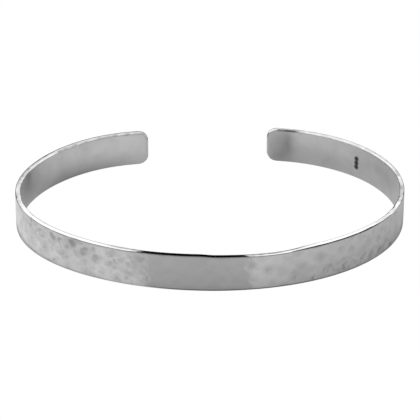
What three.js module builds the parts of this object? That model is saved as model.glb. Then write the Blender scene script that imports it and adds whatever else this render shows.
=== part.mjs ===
// A hammered silver cuff bangle: one flat strip of metal, bent into an oval that stays open at the back.
// Units are millimetres and +Z is up. The cuff lies on its lower edge, and its gap faces +Y.

import * as THREE from "three";
import { LoftGeometry } from "three/addons/geometries/LoftGeometry.js";

// The strip before it is bent. Its length is taken along the middle of its thickness.
const STRIP_LENGTH = 152;
const STRIP_WIDTH = 6;
const CORNER_RADIUS = 1.7; // of the four corners of its two ends
const EDGE_BEVEL = 0.15; // filed off every sharp edge
const STRAIGHT_END = 5; // the last of each end, over which the bend eases to nothing

// The bend and the thickness at evenly spaced places, from the end on the left of the gap, round the
// front, to the end on the right. Between two places both change evenly. The strip is thinner where
// it was hammered more.
const BENDS = [
  { radius: 19.5, thickness: 0.9 },
  { radius: 23.9, thickness: 0.9 },
  { radius: 17.5, thickness: 0.9 },
  { radius: 36.6, thickness: 0.95 },
  { radius: 43.2, thickness: 1 },
  { radius: 30, thickness: 0.95 },
  { radius: 20.1, thickness: 0.85 },
  { radius: 21.6, thickness: 0.85 },
  { radius: 23.6, thickness: 0.85 },
];

// The hammer marks on the outer face are shallow round hollows, which overlap here and there.
const MARK_SPACING = 0.7; // along the strip, from one blow to the next
const MARK_RADIUS = { least: 0.9, most: 1.5 };
const MARK_DEPTH = { least: 0.03, most: 0.08 };
const GOLDEN_STEP = 0.618034; // the share of the width that the hammer moves across between blows
const MARK_STRAY = 0.9; // how far a blow may miss the place it was meant for

// How finely the surfaces are divided.
const WALK_STEP = 0.1; // along the strip, for working out its route
const SECTION_STEP = 0.75; // along the strip, between cross-sections
const CORNER_STEPS = 6; // cross-sections over each end's corner radius
const FACE_ROWS = 8; // across the hammered face

const SILVER = new THREE.MeshStandardMaterial({ color: 0xc9c9cb, roughness: 0.22, metalness: 1 });

// The remainder of a number after its whole part.
function fraction(number) {
  return number - Math.floor(number);
}

// A number from 0 to 1 that looks random, but is the same each time for one blow and one kind.
function chance(blow, kind) {
  return fraction(Math.sin(blow * 12.9898 + kind * 78.233) * 43758.5453);
}

// A column of the bend table at a distance along the strip.
function fromTable(along, column) {
  const place = (along / STRIP_LENGTH) * (BENDS.length - 1);
  const row = Math.min(Math.floor(place), BENDS.length - 2);
  return THREE.MathUtils.lerp(column(BENDS[row]), column(BENDS[row + 1]), place - row);
}

// One over the radius of the bend. A short end gives no grip to bend it by, so it stays straighter.
function curvatureAt(along) {
  const fromEnd = Math.min(along, STRIP_LENGTH - along);
  const share = Math.min(fromEnd / STRAIGHT_END, 1);
  return share * fromTable(along, (bend) => 1 / bend.radius);
}

function thicknessAt(along) {
  return fromTable(along, (bend) => bend.thickness);
}

// The route of the strip seen from above, found by walking along it and turning a little at each step.
// Its middle heads towards +X.
function walkStrip() {
  const steps = Math.round(STRIP_LENGTH / WALK_STEP);
  const route = [{ x: 0, y: 0, heading: 0 }];
  for (let step = 0; step < steps; step++) {
    const from = route[step];
    const turn = curvatureAt((step + 0.5) * WALK_STEP) * WALK_STEP;
    route.push({
      x: from.x + WALK_STEP * Math.cos(from.heading + turn / 2),
      y: from.y + WALK_STEP * Math.sin(from.heading + turn / 2),
      heading: from.heading + turn,
    });
  }
  const middle = route[steps / 2];
  const cos = Math.cos(middle.heading);
  const sin = Math.sin(middle.heading);
  return route.map(({ x, y, heading }) => ({
    x: (x - middle.x) * cos + (y - middle.y) * sin,
    y: (y - middle.y) * cos - (x - middle.x) * sin,
    heading: heading - middle.heading,
  }));
}

// The place, and the direction that points out of the oval, at a distance along the route.
function placeOn(route, along) {
  const step = Math.min(Math.floor(along / WALK_STEP), route.length - 2);
  const share = along / WALK_STEP - step;
  const heading = THREE.MathUtils.lerp(route[step].heading, route[step + 1].heading, share);
  return {
    x: THREE.MathUtils.lerp(route[step].x, route[step + 1].x, share),
    y: THREE.MathUtils.lerp(route[step].y, route[step + 1].y, share),
    outX: Math.sin(heading),
    outY: -Math.cos(heading),
  };
}

// Half the width of the strip, which its rounded corners narrow towards each end.
function halfWidthAt(along) {
  const fromEnd = Math.min(along, STRIP_LENGTH - along, CORNER_RADIUS);
  const short = CORNER_RADIUS - fromEnd;
  return STRIP_WIDTH / 2 - CORNER_RADIUS + Math.sqrt(CORNER_RADIUS ** 2 - short ** 2);
}

// One blow of the hammer: where its mark lies on the face, how wide it is and how deep.
function markOf(blow) {
  const strength = chance(blow, 1);
  const missAlong = MARK_STRAY * (chance(blow, 2) - 0.5);
  const missUp = MARK_STRAY * (chance(blow, 3) - 0.5);
  return {
    along: (blow + 0.5) * MARK_SPACING + missAlong,
    up: (fraction(blow * GOLDEN_STEP) - 0.5) * STRIP_WIDTH + missUp,
    radius: THREE.MathUtils.lerp(MARK_RADIUS.least, MARK_RADIUS.most, strength),
    depth: THREE.MathUtils.lerp(MARK_DEPTH.least, MARK_DEPTH.most, strength),
  };
}

// How far the outer face lies below a smooth one: the deepest of the marks that reach this spot.
function hollowAt(along, up) {
  const reach = MARK_RADIUS.most + MARK_STRAY;
  const first = Math.floor((along - reach) / MARK_SPACING);
  const last = Math.ceil((along + reach) / MARK_SPACING);
  let hollow = 0;
  for (let blow = first; blow <= last; blow++) {
    const mark = markOf(blow);
    const away = Math.hypot(along - mark.along, up - mark.up) / mark.radius;
    hollow = Math.max(hollow, mark.depth * (1 - away ** 2));
  }
  return hollow;
}

// The cross-section at a distance along the strip, as points that lie out from the middle of the
// thickness and up from the middle of the width. It runs down the outer face and up the inner one.
function sectionAt(along) {
  const fromEnd = Math.min(along, STRIP_LENGTH - along);
  const halfWidth = halfWidthAt(along);
  const halfThickness = thicknessAt(along) / 2 - Math.max(0, EDGE_BEVEL - fromEnd);
  const edgeOut = halfThickness - EDGE_BEVEL;
  const faceUp = halfWidth - EDGE_BEVEL;
  const outerFace = Array.from({ length: FACE_ROWS + 1 }, (_, row) => {
    const up = THREE.MathUtils.lerp(faceUp, -faceUp, row / FACE_ROWS);
    return { out: halfThickness - hollowAt(along, up), up };
  });
  const rest = [
    { out: edgeOut, up: -halfWidth },
    { out: -edgeOut, up: -halfWidth },
    { out: -halfThickness, up: -faceUp },
    { out: -halfThickness, up: faceUp },
    { out: -edgeOut, up: halfWidth },
    { out: edgeOut, up: halfWidth },
  ];
  return [...outerFace, ...rest];
}

// The distances along the strip where it has a cross-section: close together over the rounded
// corners of each end, and even between them.
function sectionPlaces() {
  const corner = Array.from({ length: CORNER_STEPS }, (_, step) => {
    return CORNER_RADIUS * (1 - Math.cos((step / CORNER_STEPS) * (Math.PI / 2)));
  });
  const straight = STRIP_LENGTH - 2 * CORNER_RADIUS;
  const count = Math.round(straight / SECTION_STEP);
  const even = Array.from({ length: count + 1 }, (_, step) => CORNER_RADIUS + (straight * step) / count);
  const far = corner.map((place) => STRIP_LENGTH - place).reverse();
  return [...corner, ...even, ...far];
}

// The whole strip, lofted through its cross-sections and closed at both ends.
function stripGeometry() {
  const route = walkStrip();
  const sections = sectionPlaces().map((along) => {
    const place = placeOn(route, along);
    return sectionAt(along).map(({ out, up }) => {
      const x = place.x + place.outX * out;
      const y = place.y + place.outY * out;
      return new THREE.Vector3(x, y, up);
    });
  });
  return new LoftGeometry(sections, { capStart: true, capEnd: true });
}

// Moves a geometry so that the middle of its footprint is the origin and its lowest edge is at zero.
function standOnOrigin(geometry) {
  geometry.computeBoundingBox();
  const box = geometry.boundingBox;
  const middle = box.getCenter(new THREE.Vector3());
  return geometry.translate(-middle.x, -middle.y, -box.min.z);
}

function cuffBand() {
  const band = new THREE.Mesh(standOnOrigin(stripGeometry()), SILVER);
  band.name = "cuff_band";
  return band;
}

const bangle = new THREE.Group();
bangle.add(cuffBand());

export default bangle;
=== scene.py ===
# %% [markdown]
# # A hammered silver cuff bangle
# This lesson makes the looks of an open cuff: a flat strip of silver, 6 mm wide and about 1 mm thick,
# hammered on one face and bent into an oval that stays open at the back. The construction is already
# settled by a CAD model, which is loaded first and never moved. Everything here is made to fit it.

import bpy
import numpy as np
from mathutils import Euler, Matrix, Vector


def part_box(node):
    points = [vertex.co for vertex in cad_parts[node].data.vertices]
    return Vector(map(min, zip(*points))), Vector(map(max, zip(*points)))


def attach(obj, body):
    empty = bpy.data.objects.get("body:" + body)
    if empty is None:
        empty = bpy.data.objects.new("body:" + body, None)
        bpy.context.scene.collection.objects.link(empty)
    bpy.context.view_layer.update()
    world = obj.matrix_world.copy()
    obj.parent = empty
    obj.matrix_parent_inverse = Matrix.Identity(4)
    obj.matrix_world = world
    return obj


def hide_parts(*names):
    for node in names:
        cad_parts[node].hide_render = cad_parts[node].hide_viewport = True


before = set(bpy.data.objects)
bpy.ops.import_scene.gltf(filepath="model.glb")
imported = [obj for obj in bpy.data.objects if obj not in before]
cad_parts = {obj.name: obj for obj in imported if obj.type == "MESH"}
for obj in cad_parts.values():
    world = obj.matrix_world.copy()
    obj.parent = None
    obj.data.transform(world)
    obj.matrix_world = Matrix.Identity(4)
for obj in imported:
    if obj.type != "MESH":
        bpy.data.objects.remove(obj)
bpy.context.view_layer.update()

# %% [markdown]
# ## The camera
# A long lens from far away keeps the front and the back of a small jewel at nearly one scale, as in a
# catalogue. The camera looks down at the cuff, so that its upper edge and its inner face both show.
# It is placed on a sphere round the point it looks at: swing, height and distance are enough.

# %% Place the camera
MM = 0.001
CAMERA_SWING = np.radians(-0.83)  # round the upright axis, from straight in front
CAMERA_HEIGHT = np.radians(27.0)  # above the floor
CAMERA_DISTANCE = 376.2 * MM
LENS = 200.0
LOOK_AT = Vector((-0.02, 0.0, 2.13)) * MM

camera = bpy.data.objects.new("camera", bpy.data.cameras.new("camera"))
bpy.context.scene.collection.objects.link(camera)
camera.data.lens = LENS
camera.data.clip_start = 0.01
turn = Euler((np.pi / 2 - CAMERA_HEIGHT, 0.0, CAMERA_SWING))
camera.rotation_euler = turn
camera.location = LOOK_AT + turn.to_matrix() @ Vector((0.0, 0.0, CAMERA_DISTANCE))
bpy.context.scene.camera = camera
print("camera at", [round(v, 4) for v in camera.location])

# %% [markdown]
# ## The flat strip
# A silversmith hammers the strip while it is flat and bends it afterwards, and this script does the
# same. Every point of the surface first gets three flat coordinates, all in millimetres: how far
# along the strip it lies, how far up from the middle of its width, and how far out from the middle of
# its thickness. Working in flat coordinates keeps each later step a short formula.
#
# The strip is an outer face, an inner face and a rim that runs once round it. The two faces are grids
# of the same layout. Their columns stand close together over the rounded corners of the ends, where
# the width shrinks along a quarter of a circle.

# %% Sizes of the strip
cad_low, cad_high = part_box("cuff_band")
STRIP_WIDTH = (cad_high.z - cad_low.z) / MM
HALF_WIDTH = STRIP_WIDTH / 2
STRIP_LENGTH = 152.0
CORNER_RADIUS = 1.7
CREST_DOME = np.radians(9.0)  # how far the rim's crest turns to each side of its middle
RIM_DEPTH = 0.38  # from the crest of the rim down to where a face begins
# The radius of the bend and the thickness of the strip, at even stations along it.
BENDS = np.array(
    [
        (19.5, 0.9), (23.9, 0.9), (17.5, 0.9), (36.6, 0.95), (43.2, 1), (30, 0.95),
        (20.1, 0.85), (21.6, 0.85), (23.6, 0.85),
    ],
    dtype=[("radius", float), ("thickness", float)],
)
STRAIGHT_END = 5.0  # over which the bend eases to nothing at each end
bend_places = np.linspace(0, STRIP_LENGTH, len(BENDS))
print(f"strip {STRIP_LENGTH} x {STRIP_WIDTH:.2f} mm, bent at {len(BENDS)} stations")

# %% Lay out the two faces
COLUMN_STEP = 0.16
CORNER_COLUMNS = 10  # over each rounded corner
ROWS = 35


def column_layout():
    """The places of the columns along the strip and half the height of each, inside the rim.

    Over a corner the angle phi runs from 0 at the very end to a right angle: the place is the corner
    radius less its cosine part, and the half height grows by its sine part.
    """
    phi = np.linspace(0, np.pi / 2, CORNER_COLUMNS + 1)
    straight = STRIP_LENGTH - 2 * CORNER_RADIUS
    count = int(round(straight / COLUMN_STEP))
    middle = CORNER_RADIUS + straight * np.arange(1, count) / count
    inset = CORNER_RADIUS - RIM_DEPTH
    corner = CORNER_RADIUS - inset * np.cos(phi)
    place = np.concatenate([corner, middle, STRIP_LENGTH - corner[::-1]])
    angle = np.concatenate([phi, np.full(count - 1, np.pi / 2), phi[::-1]])
    half = HALF_WIDTH - CORNER_RADIUS + inset * np.sin(angle)
    return place, half, angle


def thickness_at(along):
    """The thickness of the strip, changing evenly from one station of the bend table to the next."""
    return np.interp(along, bend_places, BENDS["thickness"])


column_place, column_half, column_angle = column_layout()
COLUMNS = len(column_place)
across = np.linspace(-1, 1, ROWS)
face_along = np.repeat(column_place[:, None], ROWS, axis=1)
face_up = column_half[:, None] * across[None, :]
face_out = thickness_at(face_along) / 2
face_index = np.arange(COLUMNS * ROWS).reshape(COLUMNS, ROWS)
print("each face is", COLUMNS, "columns of", ROWS, "points")

# %% [markdown]
# ## The rim
# The rim is a small profile carried round the outline of the strip. The outline is read off the edge
# of the outer face: along the bottom, up the far end, back along the top and down the near end. At
# each of its points the profile turns from facing out, through a rounded edge, over the slightly
# domed crest that a file and a buffing wheel leave, and through a second rounded edge to facing in.
# The edges aren't equally round everywhere, because the filing is done by hand.

# %% Draw the rim's section
EDGE_STEPS = 4
CREST_STEPS = 4
# How round the two edges of the rim are, in millimetres of radius, at places along the strip.
EDGES = np.array(
    [
        (0, 0.15, 0.35), (26, 0.15, 0.35), (28, 0.15, 0.12), (38, 0.15, 0.1), (41, 0.15, 0.2),
        (57.7, 0.1, 0.2), (64.5, 0.05, 0.12), (80.8, 0.05, 0.12), (86.6, 0.1, 0.2), (88, 0.1, 0.05),
        (91, 0.14, 0.03), (103, 0.14, 0.03), (105, 0.1, 0.1), (107, 0.1, 0.2), (114, 0.2, 0.2),
        (116, 0.2, 0.15), (124, 0.2, 0.15), (128, 0.2, 0.35), (152, 0.2, 0.35),
    ],
    dtype=[("place", float), ("outer", float), ("inner", float)],
)
LOWER_EDGE = 0.25  # and how round they are all along the bottom


def rim_half(half_thickness, rounding):
    """One half of the rim's section, as rows of away from the face's edge and out from the middle.

    The direction that the rim faces turns from 0, straight out, to a right angle, straight away.
    After a flat start it follows an arc of the edge's radius up to the dome of the crest, and then an
    arc of the radius that ends level in the middle of the thickness.
    """
    lean = np.pi / 2 - CREST_DOME
    crest_radius = (half_thickness - rounding * (1 - np.cos(lean))) / np.cos(lean)
    shift = RIM_DEPTH - rounding * np.sin(lean) - crest_radius * (1 - np.sin(lean))
    edge = np.linspace(0, lean, EDGE_STEPS + 1)
    crest = np.linspace(lean, np.pi / 2, CREST_STEPS // 2 + 1)[1:]
    rows = [(shift + rounding * np.sin(a), half_thickness - rounding * (1 - np.cos(a))) for a in edge]
    rows += [(RIM_DEPTH - crest_radius * (1 - np.sin(a)), crest_radius * np.cos(a)) for a in crest]
    return rows


print("a section of the rim has", 2 * (EDGE_STEPS + CREST_STEPS // 2) + 1, "points")

# %% Carry the section round the outline


def outline_of(grid):
    """The values round the edge of a grid, counter-clockwise from the corner of its first row."""
    return np.concatenate([grid[:-1, 0], grid[-1, :-1], grid[:0:-1, -1], grid[0, :0:-1]])


def outline_normals():
    """The direction that points away from the strip at each point of the outline, along and up.

    Over the corners it is the direction of the corner's radius, and it is square to the ends and to
    the long edges everywhere else.
    """
    end = np.sign(column_place - STRIP_LENGTH / 2)[:, None]
    along = np.repeat(end * np.cos(column_angle)[:, None], ROWS, axis=1)
    up = np.sign(across)[None, :] * np.repeat(np.sin(column_angle)[:, None], ROWS, axis=1)
    return outline_of(along), outline_of(up)


rim_along = outline_of(face_along)
rim_up = outline_of(face_up)
normal_along, normal_up = outline_normals()
half_thickness = thickness_at(rim_along) / 2


def rounding_of(side):
    """The radius of one edge all round the outline: the table's along the top, and even elsewhere."""
    upper = np.interp(rim_along, EDGES["place"], EDGES[side])
    return np.where(normal_up < 0, LOWER_EDGE, upper)


section = rim_half(half_thickness, rounding_of("outer"))
inner_half = rim_half(half_thickness, rounding_of("inner"))
section += [(away, -out) for away, out in reversed(inner_half[:-1])]
rim_flat = np.array([
    (rim_along + away * normal_along, rim_up + away * normal_up, out) for away, out in section
])
OUTLINE = len(rim_along)
print("the rim has", OUTLINE, "points round it and", len(section), "levels of its own")

# %% Join faces and rim into one closed mesh
face_count = face_index.size
flat_outer = np.stack([face_along, face_up, face_out]).reshape(3, -1)
flat_inner = np.stack([face_along, face_up, -face_out]).reshape(3, -1)
flat_rim = rim_flat.transpose(1, 0, 2).reshape(3, -1)
flat = np.concatenate([flat_outer, flat_inner, flat_rim], axis=1)


def grid_quads(index):
    """The four corners of every cell of a grid of point numbers, counter-clockwise."""
    cells = [index[:-1, :-1], index[1:, :-1], index[1:, 1:], index[:-1, 1:]]
    return np.stack(cells, axis=-1).reshape(-1, 4)


rim_index = 2 * face_count + np.arange(flat_rim.shape[1]).reshape(-1, OUTLINE)
outer_edge = outline_of(face_index)
inner_edge = outline_of(face_index + face_count)
levels = np.vstack([outer_edge, rim_index, inner_edge])
levels = np.hstack([levels, levels[:, :1]])
quads = np.concatenate([
    grid_quads(face_index),
    grid_quads(face_index + face_count)[:, ::-1],
    grid_quads(levels),
])
print("points:", flat.shape[1], "triangles:", 2 * len(quads))

# %% [markdown]
# ## The hammer marks
# A hammer with a slightly domed face leaves shallow round hollows. The broad marks cover the whole
# outer face and are the ones of the CAD model, made again from the same formula. Smaller ones crowd
# together where the smith worked harder, and the heavy blows, struck with the hammer leaning, are
# deeper on one side. The small marks and the blows also carry painted shade: a grey laid into the
# colour where their reflections look dark. Such marks could be painted as a texture. Here each one
# moves the surface itself, because only real slopes break up the reflections in the way that
# polished, hammered silver shows.

# %% Take chances that are the same in every run
CHANCE_STEPS = (12.9898, 78.233)  # how far the sine's angle moves for each number and for each kind
CHANCE_SCALE = 43758.5453
# Each use of chance has a kind of its own, so that no two of them are alike.
KIND = {
    "strength": 1, "along": 2, "up": 3, "streaks": 5, "waves": 8, "filed": 9, "small": 11,
    "uneven_along": 21, "uneven_up": 22,
}


def chance(number, kind):
    """A share from 0 to 1 that looks random: what follows the point in a large multiple of a sine."""
    value = np.sin(number * CHANCE_STEPS[0] + kind * CHANCE_STEPS[1]) * CHANCE_SCALE
    return value - np.floor(value)


def between(limits, share):
    """The value at that share of the way from the first limit to the second."""
    return limits[0] + (limits[1] - limits[0]) * share


print("chances:", np.round(chance(np.arange(5), KIND["strength"]), 2))

# %% Set out the broad marks
MARK_SPACING = 0.7
MARK_STRAY = 0.9
GOLDEN_STEP = 0.618034
SPARE_BLOWS = 4  # past each end of the strip
BROAD_RADIUS = (0.9, 1.5)
BROAD_DEPTH = (0.007, 0.020)
CALM_STRETCH = (64.5, 80.8)  # the middle of the front, which was hammered more softly
CALM_SHARE = 0.35


def broad_marks():
    """Rows of along, up, radius, depth, lean and painted shade: one mark at each spacing along the
    strip, stepping across it by the golden ratio, with a small miss. Radius and depth grow with
    strength."""
    blow = np.arange(-SPARE_BLOWS, int(STRIP_LENGTH / MARK_SPACING) + SPARE_BLOWS)
    along = (blow + 0.5) * MARK_SPACING + MARK_STRAY * (chance(blow, KIND["along"]) - 0.5)
    share = blow * GOLDEN_STEP - np.floor(blow * GOLDEN_STEP)
    up = (share - 0.5) * STRIP_WIDTH + MARK_STRAY * (chance(blow, KIND["up"]) - 0.5)
    strength = chance(blow, KIND["strength"])
    calm = np.where((along > CALM_STRETCH[0]) & (along < CALM_STRETCH[1]), CALM_SHARE, 1.0)
    depth = calm * between(BROAD_DEPTH, strength)
    return np.stack([along, up, between(BROAD_RADIUS, strength), depth, 0 * up, 0 * up], axis=1)


marks_broad = broad_marks()
print(len(marks_broad), "broad marks")

# %% Scatter the small marks
KINDS_OF_AREA = 7  # the steps from one area's first kind of chance to the next area's
# Where the small marks crowd: the stretch along the strip, the band up from its middle, how many
# there are in a square millimetre, their least and greatest radius and depth, and how much painted
# shade they may carry.
AREAS = np.array(
    [
        (1, 40.4, -2.7, 2.7, 0.8, 0.4, 0.8, 0.006, 0.025, 0.10),
        (38.5, 65.4, -2.7, 2.7, 1.4, 0.3, 0.6, 0.004, 0.014, 0.08),
        (41.4, 55.0, 1.0, 2.7, 0.9, 0.3, 0.55, 0.008, 0.024, 0.13),
        (57.7, 65.4, -2.5, 2.5, 0.4, 0.7, 1.0, 0.008, 0.015, 0.08),
        (65.4, 80.8, -2.5, 2.5, 0.3, 0.4, 0.8, 0.001, 0.004, 0.02),
        (80.8, 94.3, -2.6, 2.6, 0.7, 0.4, 0.9, 0.002, 0.008, 0.06),
        (94.3, 115.4, -2.7, 2.7, 0.9, 0.35, 0.7, 0.004, 0.014, 0.08),
        (90.5, 110, -2.7, -1.0, 2.5, 0.2, 0.4, 0.004, 0.012, 0.20),
        (115.4, 151, -2.7, 2.7, 0.8, 0.4, 0.8, 0.006, 0.025, 0.10),
    ],
    dtype=[
        (name, float)
        for name in (
            "start", "stop", "low", "high", "crowd",
            "radius_least", "radius_most", "depth_least", "depth_most", "grey_most",
        )
    ],
)


def small_marks(area, kind):
    """Marks scattered evenly over one area, as rows of along, up, radius, depth, lean and painted
    shade:
    each value lies between the area's two limits at a share that chance gives."""
    count = int(area["crowd"] * (area["stop"] - area["start"]) * (area["high"] - area["low"]))
    number = np.arange(count)
    along = between((area["start"], area["stop"]), chance(number, kind))
    up = between((area["low"], area["high"]), chance(number, kind + 1))
    strength = chance(number, kind + 2)
    radius = between((area["radius_least"], area["radius_most"]), strength)
    depth = between((area["depth_least"], area["depth_most"]), chance(number, kind + 3))
    mark_shade = area["grey_most"] * chance(number, kind + 4)
    return np.stack([along, up, radius, depth, 0 * depth, mark_shade], axis=1)


marks_small = np.concatenate([
    small_marks(area, KIND["small"] + KINDS_OF_AREA * number) for number, area in enumerate(AREAS)
])
print(len(marks_small), "small marks")

# %% Place the heavy blows
# Along, up, radius, depth, how much deeper the lower side is, which is below zero where the upper
# side is the deeper one, and how much painted shade lies on the mark.
BLOWS = np.array([
    (43.4, 1.7, 0.70, 0.010, -0.030, 0.16), (44.6, 0.5, 0.60, 0.006, -0.018, 0.10),
    (45.8, 1.9, 0.50, 0.008, -0.028, 0.18), (45.9, -2.1, 0.25, 0.005, -0.008, 0.06),
    (46.6, 1.0, 0.60, 0.008, -0.022, 0.12), (48.8, 1.9, 0.75, 0.014, -0.030, 0.24),
    (49.0, -1.9, 0.27, 0.008, -0.020, 0.32), (50.1, 1.7, 0.60, 0.010, -0.034, 0.16),
    (51.5, 0.8, 0.70, 0.006, -0.020, 0.08), (52.9, 1.8, 0.85, 0.020, -0.030, 0.27),
    (53.3, 0.2, 0.45, 0.004, -0.010, 0.03), (52.5, 2.2, 0.70, 0.008, -0.020, 0.09),
    (54.9, 0.8, 0.65, 0.004, -0.015, 0.24), (54.9, 1.5, 0.75, 0.004, -0.020, 0.22),
    (55.0, -0.6, 0.70, 0.006, -0.020, 0.09), (56.4, -1.5, 0.50, 0.005, -0.012, 0.04),
    (56.7, 1.9, 0.60, 0.006, -0.022, 0.14), (57.0, 0.5, 1.10, 0.006, -0.022, 0.22),
    (59.2, 0.2, 0.70, 0.008, -0.022, 0.11), (60.1, 1.1, 0.45, 0.010, -0.024, 0.20),
    (61.9, -1.8, 0.60, 0.006, -0.020, 0.16), (62.4, 0.6, 0.60, 0.006, -0.018, 0.12),
    (62.7, -1.1, 1.20, 0.006, -0.018, 0.10), (63.9, 1.5, 1.30, 0.010, -0.012, 0.00),
    (83.8, -0.1, 0.60, 0.006, -0.020, 0.08), (87.9, -1.8, 0.75, 0.008, -0.020, 0.14),
    (89.3, -1.0, 1.90, 0.008, -0.010, 0.06), (91.0, -2.1, 0.38, 0.008, -0.020, 0.34),
    (94.2, -1.2, 0.60, 0.010, -0.020, 0.17), (96.6, -1.9, 0.50, 0.010, -0.030, 0.30),
    (97.0, -1.6, 0.45, 0.006, -0.018, 0.16), (97.6, -0.8, 0.60, 0.006, -0.012, 0.06),
    (100.2, -1.6, 0.50, 0.008, -0.024, 0.24), (100.9, -1.1, 0.60, 0.006, -0.018, 0.18),
    (100.8, 0.2, 0.60, 0.006, -0.014, 0.06), (101.6, -0.5, 0.20, 0.005, -0.010, 0.12),
    (102.2, -1.9, 0.50, 0.008, -0.024, 0.26), (102.5, -1.3, 0.60, 0.006, -0.018, 0.14),
    (103.6, -1.3, 0.35, 0.008, -0.018, 0.20), (104.0, 0.7, 0.60, 0.008, -0.018, 0.12),
    (104.6, -2.0, 0.65, 0.010, -0.030, 0.30), (105.4, -1.6, 0.65, 0.008, -0.022, 0.22),
    (106.2, -1.0, 0.50, 0.008, -0.015, 0.12), (107.3, -1.5, 0.55, 0.006, -0.015, 0.12),
    (107.8, -2.2, 0.65, 0.010, -0.030, 0.34), (108.5, -2.5, 0.50, 0.006, -0.018, 0.20),
    (110.5, -1.2, 0.70, 0.010, -0.030, 0.08), (112.5, 0.6, 0.80, 0.010, -0.030, 0.08),
    (113.2, -2.2, 0.60, 0.006, -0.018, 0.20),
])
print(len(BLOWS), "heavy blows")

# %% [markdown]
# ## Slow, smooth randomness
# Handwork wanders: the rim of a mark is never a true circle, and a face never quite even. A noise
# texture could say so to a material only, and here the shape itself needs it. So chance values are
# laid out on a coarse grid, and the points between them are blended with a soft step.

# %% Helpers for slow, smooth randomness
RIPPLE_START = 100  # the number of the line at the middle of the width
RIPPLE_SHIFT = 37.7  # how far each line is shifted against the one below


def fade(value, start, stop):
    """A smooth step from 0 at start to 1 at stop: of the share of the way between them, three times
    the square less twice the cube."""
    share = np.clip((value - start) / (stop - start), 0, 1)
    return share * share * (3 - 2 * share)


def wander(along, pitch, kind):
    """A smooth random line from 0 to 1: one chance value at each pitch, with soft steps between."""
    place = along / pitch
    step = np.floor(place)
    return chance(step, kind) + (chance(step + 1, kind) - chance(step, kind)) * fade(place - step, 0, 1)


def ripple(along, up, pitch, kind):
    """A smooth random surface from 0 to 1: lines that wander, one at each pitch up, softly blended."""
    place = up / pitch + RIPPLE_START
    step = np.floor(place)
    lower = wander(along + RIPPLE_SHIFT * step, pitch, kind)
    upper = wander(along + RIPPLE_SHIFT * (step + 1), pitch, kind)
    return lower + (upper - lower) * fade(place - step, 0, 1)


print("a line that wanders:", np.round(wander(np.arange(5) / 2, 1.0, KIND["streaks"]), 2))

# %% [markdown]
# ## From marks to depths
# Every point of the surface now asks how far each mark has pushed it in. Where marks overlap, the
# deepest one wins, as on real metal, where a new blow wipes out the old. Before it asks, a point's
# place is moved a little at random, and that makes all the rims uneven at once. The same is done for
# the painted shade of each mark.

# %% Work out how deep the marks are
UNEVEN = 0.7  # how far the rims of the marks stray from true circles
UNEVEN_PITCH = 0.8
FACE_SHARES = (0.0, 0.9)  # of half the thickness, between which a point comes to belong to a face


def hollow_of(marks, along, up):
    """How deep the surface lies under the marks, where the deepest mark wins if some overlap.

    A mark's depth fades as one less a power of the share of its radius, itself squared: the second
    power for a round bowl, and the fourth where a leaning blow left a flatter floor. The lean adds to
    the depth towards the lower side and takes from it towards the upper side.
    """
    deepest = np.zeros_like(along)
    for mark_along, mark_up, radius, depth, lean, _ in marks:
        near = np.flatnonzero(np.abs(along - mark_along) < radius)
        aside = (along[near] - mark_along) / radius
        above = (up[near] - mark_up) / radius
        away = aside ** 2 + above ** 2
        power = 1 if lean == 0 else 2
        bowl = np.clip(1 - away ** power, 0, None) ** 2 * (depth - lean * above)
        deepest[near] = np.maximum(deepest[near], bowl)
    return deepest


def mark_shade_of(marks, along, up):
    """How much painted shade the marks lay on the metal, where the darkest mark wins. It fades as one
    less the fourth power of the share of its radius, itself squared, so that a mark is a soft-edged
    even disc."""
    darkest_shade = np.zeros_like(along)
    for mark_along, mark_up, radius, _, _, mark_shade in marks:
        near = np.flatnonzero(np.abs(along - mark_along) < radius)
        away = ((along[near] - mark_along) / radius) ** 2 + ((up[near] - mark_up) / radius) ** 2
        disc = np.clip(1 - away ** 2, 0, None) ** 2 * mark_shade
        darkest_shade[near] = np.maximum(darkest_shade[near], disc)
    return darkest_shade


along, up, out = flat
outness = out / (thickness_at(along) / 2)
outward = fade(outness, *FACE_SHARES)
inward = fade(-outness, *FACE_SHARES)
uneven_along = along + UNEVEN * (ripple(along, up, UNEVEN_PITCH, KIND["uneven_along"]) - 0.5)
uneven_up = up + UNEVEN * (ripple(along, up, UNEVEN_PITCH, KIND["uneven_up"]) - 0.5)
uneven = (uneven_along, uneven_up)
small = np.maximum(hollow_of(marks_small, *uneven), hollow_of(BLOWS, *uneven))
hollow = (hollow_of(marks_broad, along, up) + small) * outward
# Painted shade: a grey on the marks, where their reflections look dark.
mark_shade = np.maximum(mark_shade_of(marks_small, *uneven), mark_shade_of(BLOWS, *uneven)) * outward
print(f"deepest hollow {hollow.max():.3f} mm, mean {hollow[:face_count].mean():.4f} mm")

# %% [markdown]
# ## Crown, crest, clouds and punch marks
# Hammering spreads the metal a little, so neither face stays quite flat: both are slightly domed
# across the width, and the inner one has slow waves. The crest of the upper edge leans a little to
# one side or the other where the file has passed, and wanders up and down. A mottled grey is painted
# on the crest as painted shade, where its reflection looks greyer, more in some places than in
# others. Both faces carry soft clouds of painted shade, and a few patches of painted highlight. All
# of this is kept in tables by place along the strip, so that one spot can be changed without the rest.
# Inside, near one end, a silversmith strikes a small stamp. Here its place holds three plain round
# punch marks.

# %% Shape the two faces
CROWN_OUTER = 0.04
CROWN_INNER = 0.04
INNER_WAVES = [(5.0, 0.06), (2.2, 0.012)]  # pitch and depth
PUNCH_ALONG = 135.1
PUNCH_UP = (0.55, -0.2, -0.95)
PUNCH_RADIUS = 0.62
PUNCH_DEPTH = 0.14
punches = np.array([(PUNCH_ALONG, place, PUNCH_RADIUS, PUNCH_DEPTH, 0, 0) for place in PUNCH_UP])


def inner_waves():
    """The sum of the slow random surfaces, each about its middle, on the inner face only."""
    wave = [depth * (ripple(along, up, pitch, KIND["waves"]) - 0.5) for pitch, depth in INNER_WAVES]
    return sum(wave) * inward


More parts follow.
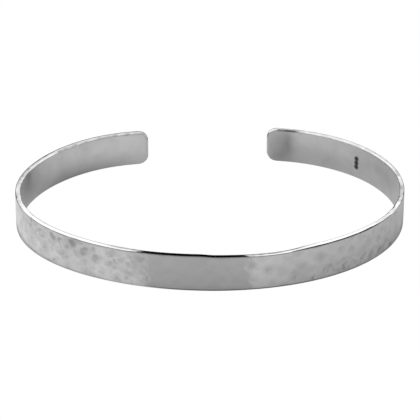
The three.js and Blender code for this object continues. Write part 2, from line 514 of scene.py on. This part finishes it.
punched = hollow_of(punches, along, up) * inward
dome = (up / HALF_WIDTH) ** 2
waves = inner_waves()
crown = CROWN_INNER * dome * inward - CROWN_OUTER * dome * outward
shaped_out = out - hollow + crown + punched + waves
print(f"inner waves up to {np.abs(waves).max():.3f} mm deep, punch marks {punched.max():.3f} mm")

# %% Lean and lift the crest
# The upper crest: place along the strip, its lean in degrees, positive where the inner side is the
# lower one, and its height in hundredths of a millimetre above or below the even line.
CREST = np.array(
    [
        (0, -2, 0), (15.4, -2.5, 0), (23.1, 0, 0), (35, 0, 5), (40, 1, 9), (50, 2, 12), (60, 3, 4),
        (62.5, 2, 2), (65, 4.5, 2), (73.5, 5.5, 9.7), (75.5, 6, -4.6), (80.5, 7, -10.5),
        (81.5, 5, -14), (85, 5, -13), (88, 4, -4), (90, 1, 9), (92, 0, 14), (96, 0, 14), (99, 0, 11),
        (102, 0, 6), (105, 0, -1), (114, 0, 0), (139.5, -1.5, 0), (152, -2, 0),
    ],
    dtype=[("place", float), ("lean", float), ("height", float)],
)
HUNDREDTHS = 100  # the table's heights are divided by this
CREST_REACH = 0.8  # from the top of the strip down to where the lean begins
# Degrees of lean that change at random at each pitch: most on the two tight bends.
STREAK_PITCH = 1.3
STREAK_PLACES = (0, 26, 30, 38, 42, 104, 108, 118, 122, 152)
CREST_STREAKS = (2, 2, 7, 7, 0, 0, 7, 7, 2, 2)


def crest_lean(along):
    """The tangent of the crest's lean: the table's value, and random streaks beyond the front."""
    steady = np.interp(along, CREST["place"], CREST["lean"])
    swing = (wander(along, STREAK_PITCH, KIND["streaks"]) - 0.5) * 2
    streaks = np.interp(along, STREAK_PLACES, CREST_STREAKS) * swing
    return np.tan(np.radians(steady + streaks))


near_top = fade(up, HALF_WIDTH - CREST_REACH, HALF_WIDTH - RIM_DEPTH)
rise = np.interp(along, CREST["place"], CREST["height"]) / HUNDREDTHS
shaped_up = up + near_top * crest_lean(along) * out + fade(up, 0, HALF_WIDTH) * rise
print(f"the crest runs from {rise.min():.2f} to {rise.max():.2f} mm about the even line")

# %% Spread the clouds of painted light and shade
# Soft clouds of painted shade: place along and up, half length, half height, strength. Where the
# strength is below zero, the cloud is a painted highlight, brighter than its surroundings.
INNER_SHADE_CLOUDS = np.array([
    (26.4, 2.3, 1.3, 1.4, 0.26), (28.0, 1.2, 4.5, 2.6, 0.28), (31.8, 2.2, 1.5, 0.9, 0.15),
    (26.5, -1.0, 5.0, 2.2, 0.12), (16.5, -2.0, 2.2, 1.0, 0.12), (9.0, -2.4, 6.0, 0.8, 0.08),
    (9.5, -0.3, 0.8, 0.5, 0.06), (148.3, 0.8, 0.8, 1.8, 0.18), (149.2, 0.0, 2.2, 4.5, 0.36),
    (150.8, -2.2, 1.5, 1.0, 0.08), (141.0, -1.5, 2.0, 1.2, 0.10), (126.0, 0.3, 3.0, 1.5, 0.10),
    (129.5, 1.0, 2.0, 1.0, 0.05),
])
OUTER_LIGHT_AND_SHADE_CLOUDS = np.array([
    (41.0, -1.6, 0.8, 0.6, -0.08), (41.8, -0.2, 0.7, 0.7, -0.08), (46.5, -1.5, 1.0, 0.8, 0.05),
    (51.0, -0.8, 1.2, 0.8, 0.04), (54.2, 1.0, 1.2, 1.4, 0.06), (56.3, -1.3, 0.5, 0.6, -0.06),
    (58.0, -0.9, 0.5, 0.7, -0.08), (58.9, -1.6, 0.6, 0.6, -0.05), (59.2, 2.1, 0.9, 0.6, -0.09),
    (60.3, -2.0, 0.5, 0.5, 0.08), (60.6, -0.7, 0.5, 0.8, -0.06), (61.6, 1.9, 0.6, 0.9, -0.08),
    (63.0, 2.1, 0.7, 0.5, -0.05), (63.6, -1.6, 0.5, 0.7, -0.08), (81.7, 0.1, 0.4, 0.6, -0.07),
    (82.2, -1.7, 0.8, 0.6, 0.03), (84.9, -0.2, 1.6, 0.4, -0.05), (87.0, 1.2, 0.5, 0.5, -0.05),
    (89.4, 0.6, 0.6, 0.4, -0.05), (89.8, -1.8, 0.5, 0.6, -0.05), (92.0, 1.0, 1.3, 1.3, 0.06),
])


def cloud_at(clouds, along, up):
    """The sum of the clouds. Each fades from its middle as e to the power of less the squared distance,
    with distances counted in its own half length and half height."""
    total = np.zeros_like(along)
    for cloud_along, cloud_up, half_length, half_height, strength in clouds:
        away = ((along - cloud_along) / half_length) ** 2 + ((up - cloud_up) / half_height) ** 2
        total += strength * np.exp(-away)
    return total


# Painted shade, and painted highlights where a cloud's strength is below zero.
painted_light_and_shade = cloud_at(INNER_SHADE_CLOUDS, along, up) * inward + cloud_at(OUTER_LIGHT_AND_SHADE_CLOUDS, along, up) * outward
print(f"clouds from {painted_light_and_shade.min():.2f} to {painted_light_and_shade.max():.2f}")

# %% Paint shade on the crest
# How much painted shade lies on the upper crest, at places along the strip: on its outer half and
# on its inner half.
PAINTED_CREST_SHADE = np.array(
    [
        (0, 0.35, 0.4), (0.8, 0.46, 0.52), (6, 0.42, 0.48), (8, 0.32, 0.5), (12, 0.28, 0.5),
        (15, 0.28, 0.42), (17.2, 0.34, 0.7), (18.5, 0.55, 0.25), (29, 0.6, 0.1), (31, 0.45, 0.3),
        (34, 0.35, 0.3), (38, 0.35, 0.1), (41, 0, 0), (42, 0, 0.6), (46, 0, 0.6), (48, 0, 0.15),
        (51, 0, 0.35), (56, 0, 0.35), (58, 0.1, 0.5), (60, 0.3, 0.8),
        (62, 0.5, 0.8), (66, 0.3, 0.7), (76, 0.2, 0.6), (80.5, 0.4, 0.2), (81.5, 0.6, 0.3),
        (86, 0.6, 0.25), (88, 0.35, 0.1), (91, 0.1, 0), (103, 0.1, 0), (105, 0.35, 0), (108, 0.3, 0),
        (110, 0.3, 0.1), (111, 0.1, 0.6), (112, 0.1, 0.7), (113, 0.4, 0.5), (115, 0.4, 0.4),
        (118, 0.5, 0.4), (120, 0.3, 0.3), (121, 0.2, 0.2), (122, 0.45, 0.35), (124, 0.5, 0.2),
        (126, 0.45, 0.05), (132, 0.42, 0.2), (136, 0.37, 0.2), (142, 0.33, 0.25), (146.1, 0.35, 0.3),
        (146.3, 0.4, 0.62), (150.1, 0.4, 0.58), (150.3, 0.2, 0.2), (152, 0, 0),
    ],
    dtype=[("place", float), ("outer", float), ("inner", float)],
)
# The painted shade on the crest is mottled, reaches a little way down the inner face, and is kept off
# the outer corner of the front.
CREST_SHADE_PITCH = 0.7
CREST_SHADE_STRETCH = 2.0  # how much shorter the mottling is across the crest
MOTTLE = (0.6, 0.8)  # the least share that the mottling leaves, and what it adds at most
HALVES_MEET = (-0.3, -0.05)  # out, where the inner half of the crest gives way to the outer
FACE_REACH = 0.15  # how far the marks reach down the inner face
FACE_END = (-0.2, -0.08)  # above the reach, where they begin
FRONT_STARTS = (44, 50)
FRONT_STOPS = (112, 108)
OUTER_CORNER = (0.25, 0.42)  # out, where the corner of the front is kept clean


def edge_height(along):
    """How high the upper edge of the strip is: half the width, less what the rounded corners take."""
    from_end = np.clip(np.minimum(along, STRIP_LENGTH - along), 0, CORNER_RADIUS)
    return HALF_WIDTH - CORNER_RADIUS + np.sqrt(CORNER_RADIUS ** 2 - (CORNER_RADIUS - from_end) ** 2)


def filed_at(along, up, out):
    """The share of painted shade: the table's two values, blended from the inner half of the crest to
    the outer, times a slow ripple, on the crest and just below it, but not on the outer corner of
    the front."""
    blend = fade(out, *HALVES_MEET)
    halves = [np.interp(along, PAINTED_CREST_SHADE["place"], PAINTED_CREST_SHADE[half]) for half in ("inner", "outer")]
    steady = between(halves, blend)
    mottled = MOTTLE[0] + MOTTLE[1] * ripple(along, out * CREST_SHADE_STRETCH, CREST_SHADE_PITCH, KIND["filed"])
    reach = FACE_REACH - FACE_REACH * blend
    above_reach = up - edge_height(along) + reach
    in_front = fade(along, *FRONT_STARTS) * fade(along, *FRONT_STOPS)
    return steady * mottled * fade(above_reach, *FACE_END) * (1 - in_front * fade(out, *OUTER_CORNER))


# Painted shade on the crest, where its reflection looks greyer.
filed = filed_at(along, up, out)
print(f"file marks up to {filed.max():.2f}")

# %% [markdown]
# ## The bend
# Seen from above the cuff is an oval whose radius changes along the strip: tight at the sides, wide
# at the front. The bend table gives the radius at nine even stations. Walking along the strip in
# short steps and turning by one step over the radius each time gives the whole route, and running
# sums do that walk at once.

# %% Bend the strip
WALK_STEP = 0.1


def walk():
    """The route of the strip's middle: heading is the running sum of step over radius, and x and y
    are the running sums of the step times the cosine and sine of the heading halfway through it."""
    steps = int(round(STRIP_LENGTH / WALK_STEP))
    halfway = (np.arange(steps) + 0.5) * WALK_STEP
    from_end = np.minimum(halfway, STRIP_LENGTH - halfway)
    ease = np.minimum(from_end / STRAIGHT_END, 1)
    turns = WALK_STEP * ease * np.interp(halfway, bend_places, 1 / BENDS["radius"])
    heading = np.concatenate([[0], np.cumsum(turns)])
    heading -= heading[steps // 2]
    mid_heading = (heading[1:] + heading[:-1]) / 2
    x = np.concatenate([[0], np.cumsum(WALK_STEP * np.cos(mid_heading))])
    y = np.concatenate([[0], np.cumsum(WALK_STEP * np.sin(mid_heading))])
    return np.arange(steps + 1) * WALK_STEP, x, y, heading


def bend(along, up, out):
    """Flat coordinates to the bent cuff: the route's place, plus out times the direction that points
    away from the oval, with up left as it is."""
    route, x, y, heading = walk()
    angle = np.interp(along, route, heading)
    bent_x = np.interp(along, route, x) + out * np.sin(angle)
    bent_y = np.interp(along, route, y) - out * np.cos(angle)
    return np.stack([bent_x, bent_y, up + HALF_WIDTH], axis=1)


points = bend(along, shaped_up, shaped_out)
even = bend(along, up, out)
middle = (even.min(axis=0) + even.max(axis=0)) / 2
cad_middle = np.array((cad_low + cad_high) / 2) / MM
points[:, :2] += (cad_middle - middle)[:2]
print("bent to", np.round(np.ptp(points, axis=0), 2), "mm")

# %% [markdown]
# ## The mesh
# The arrays go into the mesh in bulk. Seven numbers travel with each point for the material to read:
# whether it belongs to the satin inner face, whether to the rim, how deep it lies in a hammer mark
# and in a punch mark, how much painted shade the marks lay on it, how much painted shade the crest
# has there, and how much painted shade or painted highlight the clouds give it. A UV map holds the
# flat coordinates, so that scratches can run along the strip.

# %% Helpers for meshes made of arrays


def add_mesh(name, places, faces):
    """A mesh object from arrays of points in metres and of quads, shaded smooth."""
    mesh = bpy.data.meshes.new(name)
    mesh.vertices.add(len(places))
    mesh.vertices.foreach_set("co", places.astype(np.float32).ravel())
    mesh.loops.add(faces.size)
    mesh.loops.foreach_set("vertex_index", faces.astype(np.int32).ravel())
    mesh.polygons.add(len(faces))
    mesh.polygons.foreach_set("loop_start", np.arange(0, faces.size, 4, dtype=np.int32))
    mesh.update(calc_edges=True)
    mesh.validate()
    mesh.polygons.foreach_set("use_smooth", np.ones(len(faces), bool))
    made = bpy.data.objects.new(name, mesh)
    bpy.context.scene.collection.objects.link(made)
    return made


def add_values(made, name, values):
    """One number for each point of the mesh, under a name that a material can read."""
    attribute = made.data.attributes.new(name, "FLOAT", "POINT")
    attribute.data.foreach_set("value", values.astype(np.float32))


# %% Make the silver band
SATIN_SHARES = (0.4, 0.95)  # of half the thickness, between which the edge's polish gives way to satin
band = add_mesh("silver_band", points * MM, quads)
add_values(band, "satin", fade(-outness, *SATIN_SHARES))
add_values(band, "crest", np.repeat([0.0, 0.0, 1.0], [face_count, face_count, flat_rim.shape[1]]))
add_values(band, "hollow", hollow / hollow.max())
add_values(band, "punched", punched / PUNCH_DEPTH)
# Painted shade of the marks and of the crest, and clouds of painted shade and painted highlight.
add_values(band, "shaded_marks", mark_shade)
add_values(band, "filed", filed)
add_values(band, "painted_light_and_shade", painted_light_and_shade)
uv = band.data.uv_layers.new(name="flat_strip")
spread = np.stack([along, up + HALF_WIDTH], axis=1)[quads.ravel()] / STRIP_LENGTH
uv.data.foreach_set("uv", spread.astype(np.float32).ravel())
print("the band has", len(band.data.attributes), "attributes and", len(band.data.polygons), "quads")

# %% Measure its volume
corners = points[quads]
wedge = np.einsum("ij,ij->i", corners[:, 0], np.cross(corners[:, 1], corners[:, 2]))
wedge += np.einsum("ij,ij->i", corners[:, 0], np.cross(corners[:, 2], corners[:, 3]))
print(f"volume {wedge.sum() / 6:.1f} cubic mm, which is positive when the faces point out")

# %% [markdown]
# ## Shader maths as expressions
# A material's numbers are worked out by many small Math nodes. Writing them as ordinary Python
# expressions keeps them readable: the class below wraps a node's output, and adding or multiplying
# two of them adds the node that does it.

# %% A bench for laying out nodes


class Number:
    """A number that the shader works out, which Python's own operators can join to others."""

    def __init__(self, bench, socket):
        self.bench = bench
        self.socket = socket

    def __add__(self, other):
        return self.bench.math("ADD", self, other)

    def __radd__(self, other):
        return self.bench.math("ADD", other, self)

    def __sub__(self, other):
        return self.bench.math("SUBTRACT", self, other)

    def __rsub__(self, other):
        return self.bench.math("SUBTRACT", other, self)

    def __mul__(self, other):
        return self.bench.math("MULTIPLY", self, other)

    def __rmul__(self, other):
        return self.bench.math("MULTIPLY", other, self)

    def __truediv__(self, other):
        return self.bench.math("DIVIDE", self, other)


class Bench:
    """A node tree that is laid out by calls."""

    def __init__(self, tree):
        self.tree = tree
        tree.nodes.clear()

    def node(self, kind, settings, sockets):
        """Adds a node: its settings first, then a value or a link for each named or numbered socket."""
        made = self.tree.nodes.new(kind)
        for name, value in settings.items():
            setattr(made, name, value)
        for name, value in sockets.items():
            if isinstance(value, Number):
                self.tree.links.new(value.socket, made.inputs[name])
            elif isinstance(value, bpy.types.NodeSocket):
                self.tree.links.new(value, made.inputs[name])
            else:
                made.inputs[name].default_value = value
        return made

    def math(self, operation, *values):
        """Adds a Math node that does the operation on the values, and wraps its result."""
        made = self.node("ShaderNodeMath", {"operation": operation}, dict(enumerate(values)))
        return Number(self, made.outputs[0])

    def step(self, value, start, stop, low=0.0, high=1.0):
        """A soft step: low up to start, high from stop on, and an S-shaped rise between them."""
        sockets = {"Value": value, "From Min": start, "From Max": stop, "To Min": low, "To Max": high}
        made = self.node("ShaderNodeMapRange", {"interpolation_type": "SMOOTHSTEP"}, sockets)
        return Number(self, made.outputs["Result"])

    def curve(self, value, points):
        """A smooth line through points of value and result: one soft step from each to the next."""
        total = points[0][1]
        for (start, low), (stop, high) in zip(points, points[1:]):
            total = self.step(value, start, stop, 0.0, high - low) + total
        return total

    def read(self, name):
        """The number that the mesh holds under that name."""
        made = self.node("ShaderNodeAttribute", {"attribute_name": name}, {})
        return Number(self, made.outputs["Fac"])


# %% [markdown]
# ## The silver
# Silver's colour is nearly white, and what the eye reads as its finish is mostly roughness. The
# hammered face and the edges are polished until they mirror softly. The inner face is left satin by
# fine emery, with scratches that run along the strip. Tarnish and painted shade are one number, from
# clean to nearly black: a thin even layer of tarnish, more of it at the bottoms of the punch marks,
# where the wheel doesn't reach, and soft random clouds of it. Painted shade darkens the bottoms of
# the hammer marks and lies under the grey of the marks, the crest and the clouds, where the
# reflections look dark; the clouds below zero are painted highlights. It only mixes two greys in the
# base colour, which costs less than a second material and bakes well.

# %% Read the band's numbers and lay three noises over it
SCRATCHES_PER_STRIP = (60.0, 2400.0, 1.0)  # in the strip's length: along it, and across it
CLOUDS_PER_METRE = 500.0
GRAINS_PER_METRE = 2200.0


def noise(bench, vector, scale, detail):
    """A noise texture's value, read at the vector."""
    made = bench.node("ShaderNodeTexNoise", {}, {"Vector": vector, "Scale": scale, "Detail": detail})
    return Number(bench, made.outputs["Fac"])


silver = bpy.data.materials.new("silver")
silver.use_nodes = True
bench = Bench(silver.node_tree)
inside = bench.read("satin")
on_rim = bench.read("crest")
in_hollow = bench.read("hollow")
in_punch = bench.read("punched")
# Painted shade and painted highlights come in with the marks, the crest and the clouds.
shaded_marks = bench.read("shaded_marks")
crest_shaded = bench.read("filed")
cloud_light_and_shade = bench.read("painted_light_and_shade")
place = bench.node("ShaderNodeTexCoord", {}, {})
strokes = bench.node(
    "ShaderNodeMapping", {},
    {"Vector": place.outputs["UV"], "Scale": SCRATCHES_PER_STRIP},
)
scratch = noise(bench, strokes.outputs[0], scale=1.0, detail=3.0)
cloudy = noise(bench, place.outputs["Object"], scale=CLOUDS_PER_METRE, detail=3.0)
grainy = noise(bench, place.outputs["Object"], scale=GRAINS_PER_METRE, detail=2.0)
print("the silver reads", len(silver.node_tree.nodes), "nodes before any sum")

# %% Finish the silver
POLISHED = 0.11  # the roughness of the outer face, and what each thing adds to it
RIM_ROUGH = -0.05
SATIN_ROUGH = 0.21
HOLLOW_ROUGH = 0.05
CLOUD_ROUGH = 0.06
PUNCH_ROUGH = 0.3
CREST_SHADE_ROUGH = 0.2
EVEN_TARNISH = 0.093  # the thin layer all over, and what each thing adds to it
# Painted shade: the bottoms of the hammer marks are darkened in the colour, where their reflections
# look dark.
HOLLOW_SHADE = 0.2
PUNCH_TARNISH = 1.8
CLOUD_TARNISH = 0.1
SATIN_CLOUD_TARNISH = 0.15
CLEAN_SILVER = (0.95, 0.95, 0.96, 1.0)
BLACK_TARNISH_AND_SHADE = (0.09, 0.09, 0.095, 1.0)
SCRATCH_HEIGHT = 0.5
BUMP_STRENGTH = 0.3
BUMP_HEIGHT = 0.00002  # in metres

roughness = POLISHED + on_rim * RIM_ROUGH + inside * SATIN_ROUGH + in_hollow * HOLLOW_ROUGH
roughness = roughness + (cloudy - 0.5) * CLOUD_ROUGH + in_punch * PUNCH_ROUGH + crest_shaded * CREST_SHADE_ROUGH
# Tarnish and painted shade in one number: painted shade from the hollows, the marks, the crest and the
# clouds, and painted highlights where the clouds are below zero.
tarnish_and_shade = in_hollow * HOLLOW_SHADE + shaded_marks + in_punch * PUNCH_TARNISH + crest_shaded + cloud_light_and_shade
tarnish_and_shade = tarnish_and_shade + (cloudy - 0.5) * (inside * SATIN_CLOUD_TARNISH + CLOUD_TARNISH) + EVEN_TARNISH
tarnish_and_shade = bench.math("MINIMUM", tarnish_and_shade, 1.0)
colour = bench.node(
    "ShaderNodeMix", {"data_type": "RGBA"},
    {"Factor": tarnish_and_shade, "A": CLEAN_SILVER, "B": BLACK_TARNISH_AND_SHADE},
)
height = scratch * inside * SCRATCH_HEIGHT + grainy * (1.0 - inside - on_rim)
bump = bench.node(
    "ShaderNodeBump", {},
    {"Height": height, "Strength": BUMP_STRENGTH, "Distance": BUMP_HEIGHT},
)
shader = bench.node(
    "ShaderNodeBsdfPrincipled", {},
    {
        "Base Color": colour.outputs["Result"], "Metallic": 1.0,
        "Roughness": roughness, "Normal": bump.outputs[0],
    },
)
bench.node("ShaderNodeOutputMaterial", {}, {"Surface": shader.outputs[0]})
band.data.materials.append(silver)
print("silver has", len(silver.node_tree.nodes), "nodes")

# %% [markdown]
# ## The studio
# Polished metal shows its surroundings, so the light is designed as a set of reflections. Lamps
# would leave small bright spots on it. The world is the studio instead: a bright ceiling, a dark line
# of wall all round at eye height, and a table whose light differs by direction. The camera itself
# sees plain white.

# %% Find where a reflection points
DEGREE = np.pi / 180
WHITE = (1.0, 1.0, 1.0, 1.0)
world = bpy.data.worlds.new("studio")
world.use_nodes = True
bpy.context.scene.world = world
bpy.context.scene.view_settings.view_transform = "Standard"
bench = Bench(world.node_tree)
direction = bench.node("ShaderNodeTexCoord", {}, {})
parts = bench.node("ShaderNodeSeparateXYZ", {}, {0: direction.outputs["Generated"]})
east, north, height = (Number(bench, parts.outputs[axis]) for axis in "XYZ")
bearing = bench.math("ARCTAN2", east, 0.0 - north) / DEGREE  # 0 to the front, 90 to the right
elevation = bench.math("ARCSINE", height) / DEGREE  # 0 level, 90 straight up
print("a reflection's bearing and elevation take", len(world.node_tree.nodes), "nodes")

# %% Light the studio
# How bright the table is at each bearing.
TABLE_LIGHT = [
    (-179, 0.66), (-172, 0.84), (-150, 0.84), (-128, 0.75), (-118, 0.70), (-108, 0.75), (-98, 0.67),
    (-88, 0.72), (-78, 0.62), (-70, 0.67), (-62, 0.61), (-54, 0.71), (-46, 0.64), (-39, 0.64),
    (-36, 0.57), (-33, 0.60), (-31.5, 0.40), (-10, 0.38), (15.5, 0.39), (17.5, 0.53), (26, 0.525),
    (36, 0.485), (50, 0.485), (66, 0.455), (130, 0.46), (150, 0.51), (165, 0.45), (179, 0.44),
]
LEFT_ENDS = (-33.0, -31.5)  # the bearings at which the brighter left side ends
BELOW = (-52.0, -22.0, 0.45, 1.1)  # two elevations of the table, and the share of its light at each
LEFT_LEVEL = 1.3  # on the left, what that share lacks of 1 is given back this many times
WALL_LIGHT = 0.012
LEFT_WALL_LIGHT = 0.14  # added on the left
CEILING_LIGHT = 1.3
LEFT_TABLE_ENDS = (-33.0, -6.0)  # elevations between which the table gives way to the wall
TABLE_ENDS = (-25.0, -8.0)
WALL_ENDS = (6.0, 11.0)  # and the wall to the ceiling
BACK_WALL = (0.5, 0.8)  # how far north a reflection points where the wall is higher
BACK_WALL_RISE = 12.0
RIGHT_WALL = (30.0, 60.0)  # the bearings at which the wall gets lower towards the right
RIGHT_WALL_DROP = 10.0

left = 1.0 - bench.step(bearing, *LEFT_ENDS)
from_below = bench.step(elevation, *BELOW)
table = bench.curve(bearing, TABLE_LIGHT) * (from_below + left * (1.0 - from_below) * LEFT_LEVEL)
wall = WALL_LIGHT + left * LEFT_WALL_LIGHT
above_left_table = bench.step(elevation, *LEFT_TABLE_ENDS)
above_table = left * above_left_table + (1.0 - left) * bench.step(elevation, *TABLE_ENDS)
wall_top = bench.step(north, *BACK_WALL) * BACK_WALL_RISE
wall_top = wall_top - bench.step(bearing, *RIGHT_WALL) * RIGHT_WALL_DROP
above_wall = bench.step(elevation - wall_top, *WALL_ENDS)
light = table * (1.0 - above_table) + wall * above_table * (1.0 - above_wall)
light = light + above_wall * CEILING_LIGHT
path = bench.node("ShaderNodeLightPath", {}, {})
seen = Number(bench, path.outputs["Is Camera Ray"])
light = light * (1.0 - seen) + seen
background = bench.node("ShaderNodeBackground", {}, {"Color": WHITE, "Strength": light})
bench.node("ShaderNodeOutputWorld", {}, {"Surface": background.outputs[0]})
print("the studio has", len(world.node_tree.nodes), "nodes")

# %% [markdown]
# ## The floor
# The cuff lies on a lit glass table, as small jewels do when they are shown without a shadow. A plain
# plane that gives off an even white light is enough. Reflections pass it by, because what the silver
# mirrors of the table comes from the studio and from the film of the next step.

# %% Lay the floor
FLOOR_SIZE = 6.0
FLOOR_DROP = 0.02  # below the cuff, so that the two never share a plane
bpy.ops.mesh.primitive_plane_add(size=FLOOR_SIZE, location=(0, 0, -FLOOR_DROP * MM))
floor = bpy.context.object
floor.name = "light_table"
floor.visible_glossy = False
glass = bpy.data.materials.new("lit_glass")
glass.use_nodes = True
bench = Bench(glass.node_tree)
lit = bench.node("ShaderNodeEmission", {}, {"Color": WHITE, "Strength": 1.0})
bench.node("ShaderNodeOutputMaterial", {}, {"Surface": lit.outputs[0]})
floor.data.materials.append(glass)
print("a floor", FLOOR_SIZE, "m across")

# %% [markdown]
# ## The table close to the cuff
# A table is never evenly bright right beside an object. The cuff shades the table that it stands on,
# and inside the oval the table is lit only from above. The silver mirrors just this part of it, so a
# film is laid there that nothing but a reflection sees. Inside the oval it glows a little, and more
# where light comes in by the gap. Outside it is clear but for a grey shade beside the lower edge.
# Tables of levels by place and distance keep each stretch of it apart from the others.

# %% A helper for what only reflections see


def show_in_reflections_only(made):
    """Hides an object from the camera, from diffuse light and from shadows."""
    made.visible_camera = False
    made.visible_diffuse = False
    made.visible_shadow = False


# %% Set the film's levels
FILM_PLACES = [0, 6, 12, 17, 26, 40, 76, 112, 126, 136, 144, 149, 152]
INSIDE_AWAY = [0, 3, 6, 9]  # millimetres away from the strip, towards the middle of the oval
# How bright the film is at each of those places, and across it at each of those distances.
INSIDE_GLOW = [
    (0.41, 0.46, 0.54, 0.58), (0.30, 0.36, 0.53, 0.61), (0.20, 0.34, 0.53, 0.62),
    (0.20, 0.36, 0.48, 0.58), (0.38, 0.38, 0.46, 0.52), (0.45, 0.45, 0.45, 0.46),
    (0.45, 0.45, 0.45, 0.45), (0.45, 0.45, 0.45, 0.46), (0.45, 0.42, 0.43, 0.52),
    (0.37, 0.38, 0.36, 0.56), (0.35, 0.36, 0.38, 1.0), (0.34, 0.34, 0.36, 0.53),
    (0.40, 0.42, 0.42, 0.50),
]
OUTSIDE_AWAY = [0, 0.8, 2, 4, 6, 10]  # and away from the oval
# How clear the film is at each of those distances.
NO_SHADE = (1.0, 1.0, 1.0, 1.0, 1.0, 1.0)  # in the gap between the ends
SHADE_LEFT = (0.35, 0.97, 1.0, 1.0, 1.0, 1.0)
SHADE_FRONT = (0.55, 0.80, 0.91, 0.94, 0.97, 1.0)
SHADE_RIGHT = (0.45, 0.74, 0.84, 0.88, 0.94, 1.0)
OUTSIDE_CLEAR = [NO_SHADE] + [SHADE_LEFT] * 5 + [SHADE_FRONT] + [SHADE_RIGHT] * 5 + [NO_SHADE]
HALF_FOOT = 0.45  # half the thickness that the strip stands on
# The lines of points along the film, by how far out each lies from the middle of the thickness.
FILM_RINGS = np.array([
    -9.5, -8, -6.5, -5, -3.5, -2.5, -1.5, -HALF_FOOT, 0,
    HALF_FOOT, 0.85, 1.3, 2.5, 4.5, 6.5, 8.5, 10.5, 13,
])
FILM_COLUMNS = 153
FILM_DROP = 0.01  # below the cuff and above the floor
GATHER = 0.02  # the share to which the innermost line is drawn in to the middle of the oval


def film_level(rings, away_stops, rows):
    """The table of levels read at every ring and column: first across it, then along the strip."""
    across_rows = np.array([np.interp(np.abs(rings) - HALF_FOOT, away_stops, row) for row in rows])
    places = np.linspace(0, STRIP_LENGTH, FILM_COLUMNS)
    return np.array([np.interp(places, FILM_PLACES, column) for column in across_rows.T])


levels_inside = film_level(FILM_RINGS[FILM_RINGS <= 0], INSIDE_AWAY, INSIDE_GLOW)
levels_outside = film_level(FILM_RINGS[FILM_RINGS > 0], OUTSIDE_AWAY, OUTSIDE_CLEAR)
print("the film glows from", levels_inside.min(), "to", levels_inside.max())

# %% Lay the film on the table
film_along, film_out = np.meshgrid(np.linspace(0, STRIP_LENGTH, FILM_COLUMNS), FILM_RINGS)
film_points = bend(film_along.ravel(), np.full(film_out.size, -HALF_WIDTH), film_out.ravel())
film_points[:, :2] += (cad_middle - middle)[:2]
film_points[:, 2] = -FILM_DROP
film_points[:FILM_COLUMNS, :2] *= GATHER
film_index = np.arange(film_out.size).reshape(film_out.shape)
film = add_mesh("table_film", film_points * MM, grid_quads(film_index)[:, ::-1])
add_values(film, "level", np.vstack([levels_inside, levels_outside]).ravel())
add_values(film, "clear", (film_out > 0).astype(float).ravel())
show_in_reflections_only(film)
tint = bpy.data.materials.new("table_film")
tint.use_nodes = True
bench = Bench(tint.node_tree)
level = bench.read("level")
glow = bench.node("ShaderNodeEmission", {}, {"Color": WHITE, "Strength": level})
shade = bench.node("ShaderNodeBsdfTransparent", {}, {"Color": level})
both = bench.node(
    "ShaderNodeMixShader", {},
    {0: bench.read("clear"), 1: glow.outputs[0], 2: shade.outputs[0]},
)
bench.node("ShaderNodeOutputMaterial", {}, {"Surface": both.outputs[0]})
film.data.materials.append(tint)
print("film of", len(film_points), "points")

# %% [markdown]
# ## The black hoods
# In a studio, a strip of black card held close to a polished edge draws a dark line along it. The
# crest of the upper edge mirrors whatever is above and beside it, so a card bent round it like a
# hood, 10 mm away, turns that stretch black. One hood stands over the middle of the front and one over
# its right half, where it reaches only part of the way round and draws a thin line. Only reflections
# see them.

# %% Stand the black hoods
HOOD_RADIUS = 10.0
HOOD_COLUMNS = 21
HOOD_ROWS = 25
BLACK = (0.0, 0.0, 0.0, 1.0)
# Where each hood starts and stops along the strip, how much later it starts and earlier it stops on
# its inner side, and between which angles it bends round the crest: 0 is above, 90 straight out.
HOODS = [
    ("front_hood", 60.0, 83.4, 1.4, 1.4, -97, 97),
    ("right_hood", 90.2, 116.0, 0.0, 0.0, -14, 88),
]
INNER_SIDE = (-45, -81)  # the angles over which the inner corners are cut back


def hood(name, start, stop, later, earlier, first, last):
    """A black sheet bent round the crest: out is the radius times the sine of the angle, and up is the
    radius times its cosine above the crest. Its ends run aslant on the inner side."""
    share, turn = np.meshgrid(np.linspace(0, 1, HOOD_COLUMNS), np.linspace(first, last, HOOD_ROWS))
    inner = fade(turn, *INNER_SIDE)
    hood_along = (start + later * inner) * (1 - share) + (stop - earlier * inner) * share
    hood_up = HALF_WIDTH + HOOD_RADIUS * np.cos(np.radians(turn))
    hood_out = HOOD_RADIUS * np.sin(np.radians(turn))
    places = bend(hood_along.ravel(), hood_up.ravel(), hood_out.ravel())
    places[:, :2] += (cad_middle - middle)[:2]
    return add_mesh(name, places * MM, grid_quads(np.arange(turn.size).reshape(turn.shape)))


hoods = [hood(*row) for row in HOODS]
felt = bpy.data.materials.new("black_felt")
felt.use_nodes = True
bench = Bench(felt.node_tree)
black = bench.node("ShaderNodeEmission", {}, {"Color": BLACK, "Strength": 0.0})
bench.node("ShaderNodeOutputMaterial", {}, {"Surface": black.outputs[0]})
for sheet in hoods:
    show_in_reflections_only(sheet)
    sheet.data.materials.append(felt)
print("hoods:", [sheet.name for sheet in hoods])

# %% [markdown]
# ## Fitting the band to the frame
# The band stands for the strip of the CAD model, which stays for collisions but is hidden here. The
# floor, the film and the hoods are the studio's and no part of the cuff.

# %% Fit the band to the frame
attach(band, "root")
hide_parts("cuff_band")
